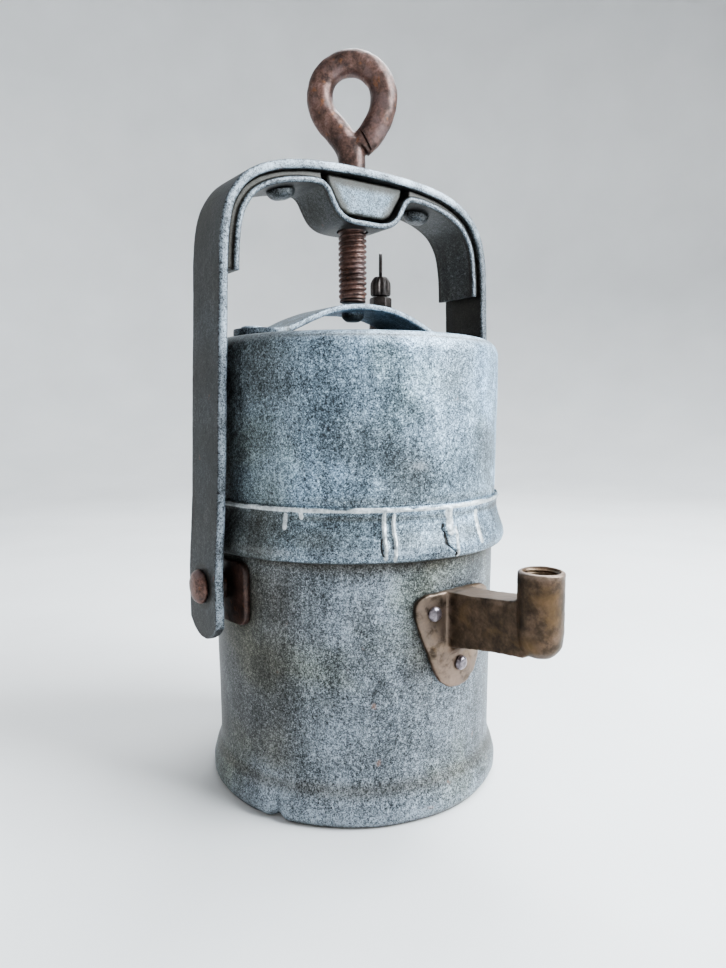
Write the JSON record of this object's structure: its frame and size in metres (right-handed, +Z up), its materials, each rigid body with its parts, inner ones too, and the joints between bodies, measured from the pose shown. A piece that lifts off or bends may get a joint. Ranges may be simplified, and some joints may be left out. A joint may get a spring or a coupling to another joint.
{
  "type": "carbide lamp",
  "caption": "Weathered carbide lamp: carbide pot, water tank with valve, pivoted yoke with eye screw, and a side bracket with an empty burner socket.",
  "frame": {"origin": "on the pot axis at the underside of the pot", "axes": "+Z up along the lamp axis, +X along the yoke pivot axis, -Y towards the burner side, +Y towards the water valve side"},
  "size_m": [0.122, 0.1397, 0.2456],
  "materials": {
    "zinc_body": "weathered, mottled",
    "zinc_yoke": "weathered, dark, bright edges",
    "rusted_steel": "brown rust",
    "aged_brass": "brown patina",
    "valve_metal": "dark patina",
    "tinplate": "dull",
    "rubber": "matte"
  },
  "bodies": {
    "pot": {"carbide_pot": "zinc_body", "carbide_tin": "tinplate", "pivot_pad_left": "rusted_steel", "pivot_pad_right": "rusted_steel", "pivot_spacer_left": "rusted_steel", "pivot_spacer_right": "rusted_steel", "pivot_washer_left": "rusted_steel", "pivot_washer_right": "rusted_steel", "pivot_rivet_left": "rusted_steel", "pivot_rivet_right": "rusted_steel", "burner_bracket": "aged_brass", "flange_rivet_1": "aged_brass", "flange_rivet_2": "aged_brass", "flange_rivet_3": "aged_brass"},
    "tank": {"tank_shell": "zinc_body", "tank_collar": "zinc_body", "tank_floor": "tinplate", "rim_gasket": "rubber", "valve_seat": "aged_brass", "valve_boss": "aged_brass", "gland_packing": "rubber", "gland_nut": "aged_brass", "filler_bush": "aged_brass", "pressure_strap": "zinc_body", "strap_rivet_left": "zinc_body", "strap_rivet_right": "zinc_body"},
    "valve": {"valve_spindle": "aged_brass", "valve_knob": "valve_metal", "valve_wing": "valve_metal"},
    "filler_seal": {"filler_washer": "rubber"},
    "filler": {"filler_plug": "aged_brass"},
    "yoke": {"yoke_strip": "zinc_yoke", "yoke_reinforcement": "zinc_yoke", "nut_block": "zinc_yoke", "yoke_rivet_left": "zinc_yoke", "yoke_rivet_right": "zinc_yoke"},
    "screw_foot": {"screw_foot": "rusted_steel"},
    "eye_screw": {"eye_screw": "rusted_steel"}
  },
  "joints": [
    {"name": "yoke_swing", "type": "hinge", "parent": "pot", "child": "yoke", "pos_m": [0, 0, 0.071], "axis": [1, 0, 0], "range_deg": [-100, 100]},
    {"name": "screw_travel", "type": "slide", "parent": "yoke", "child": "screw_foot", "axis": [0, 0, 1], "range_m": [0, 0.015]},
    {"name": "screw_turn", "type": "hinge", "parent": "screw_foot", "child": "eye_screw", "pos_m": [0, 0, 0.19], "axis": [0, 0, 1], "range_deg": [0, 3010.17]},
    {"name": "tank_lift", "type": "slide", "parent": "pot", "child": "tank", "axis": [0, 0, 1], "range_m": [0, 0.0138]},
    {"name": "valve_turn", "type": "hinge", "parent": "tank", "child": "valve", "pos_m": [0.0245, 0.017, 0.17], "axis": [0, 0, 1], "range_deg": [0, 540]},
    {"name": "filler_lift", "type": "slide", "parent": "tank", "child": "filler_seal", "axis": [0, 0, 1], "range_m": [0, 0.0061]},
    {"name": "filler_turn", "type": "hinge", "parent": "filler_seal", "child": "filler", "pos_m": [-0.0175, 0.0297, 0.152], "axis": [0, 0, 1], "range_deg": [0, 1440]}
  ],
  "couplings": [
    {"joint": "screw_travel", "follows": "tank_lift", "ratio": 1.0725},
    {"joint": "screw_turn", "follows": "tank_lift", "rad_per_m": 3807},
    {"joint": "filler_lift", "follows": "filler_turn", "m_per_rad": 0.00023873}
  ]
}
